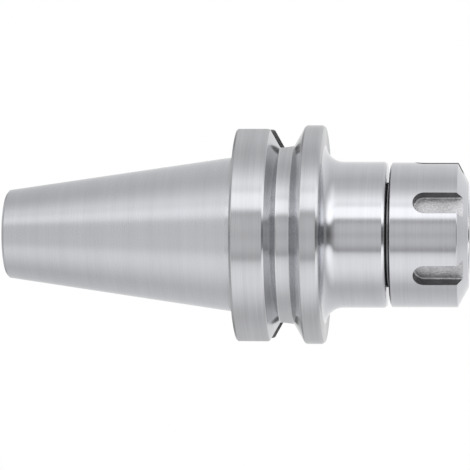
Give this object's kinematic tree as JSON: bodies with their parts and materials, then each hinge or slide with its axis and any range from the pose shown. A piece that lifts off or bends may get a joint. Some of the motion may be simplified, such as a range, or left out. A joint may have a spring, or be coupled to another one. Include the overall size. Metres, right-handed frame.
{
  "type": "collet chuck holder",
  "caption": "Steel tool holder: a steep taper shank with a V-grooved, slotted flange carries a spring collet chuck with a slotted clamping nut.",
  "frame": {"origin": "centre of the clamping nut's front face, the lowest point of the part as it stands on its nut", "axes": "+Z along the spindle axis, from the nut up to the small end of the taper; the two drive slots of the flange are at +X and -X; -Y is the side that the picture shows"},
  "size_m": [0.063, 0.063, 0.1336],
  "materials": {
    "ground_steel": "fine ground and turned, satin",
    "hardened_steel": "hardened and ground, satin",
    "turned_steel": "fine turned, satin, with blasted slot floors"
  },
  "bodies": {
    "holder": {"holder_body": "ground_steel"},
    "collet": {"collet": "hardened_steel"},
    "nut": {"clamping_nut": "turned_steel"}
  },
  "joints": [
    {"name": "collet_travel", "type": "slide", "parent": "holder", "child": "collet", "axis": [0, 0, -1], "range_m": [0, 0.0136]},
    {"name": "nut_turn", "type": "hinge", "parent": "collet", "child": "nut", "pos_m": [0, 0, 0.0115], "axis": [0, 0, -1], "range_deg": [0, 3240]}
  ],
  "couplings": [
    {"joint": "collet_travel", "follows": "nut_turn", "m_per_rad": 0.00023873}
  ]
}
